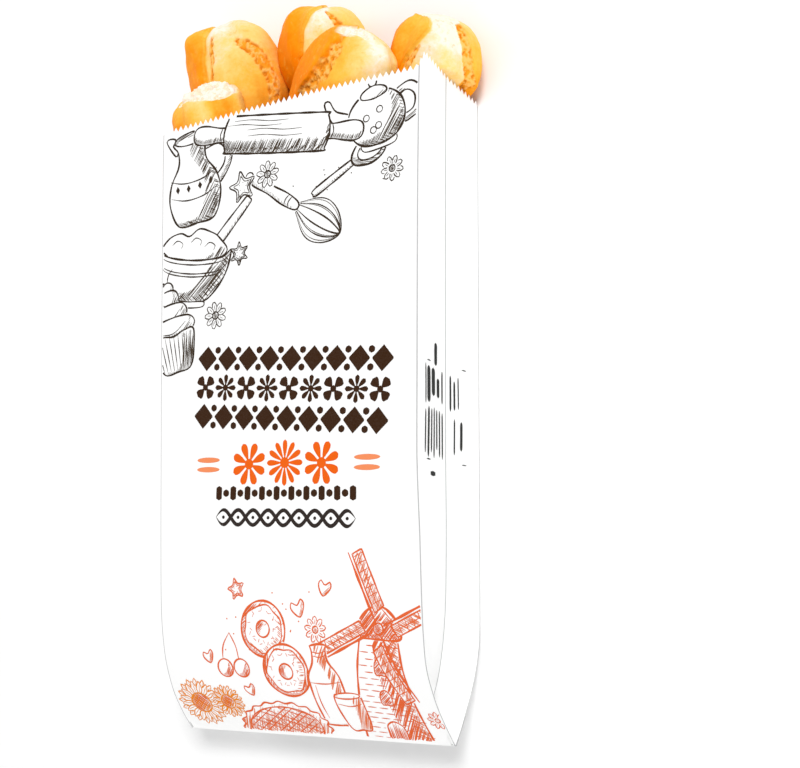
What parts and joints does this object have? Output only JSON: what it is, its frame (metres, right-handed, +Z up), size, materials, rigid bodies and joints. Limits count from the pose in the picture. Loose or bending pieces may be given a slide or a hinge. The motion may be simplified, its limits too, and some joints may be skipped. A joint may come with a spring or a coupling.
{
  "type": "paper bread bag",
  "caption": "Gusseted paper bread bag with a saw-tooth mouth and a pinched bottom, lying on its back panel, with crusty bread rolls standing out of the mouth.",
  "frame": {"origin": "middle of the footprint of the bag and rolls together, on the floor it lies on", "axes": "+X across the front panel to the right, +Y along the bag from the pinched bottom to the mouth, +Z up, out of the front panel"},
  "size_m": [0.2324, 0.49, 0.0771],
  "materials": {
    "paper": "white sulphite paper, faintly creased",
    "bread": "golden baked crust, dull"
  },
  "bodies": {
    "root": {"paper_bag": "paper", "roll_front_left": "bread", "roll_left": "bread", "roll_back_centre": "bread", "roll_front_centre": "bread", "roll_right": "bread"}
  },
  "joints": []
}
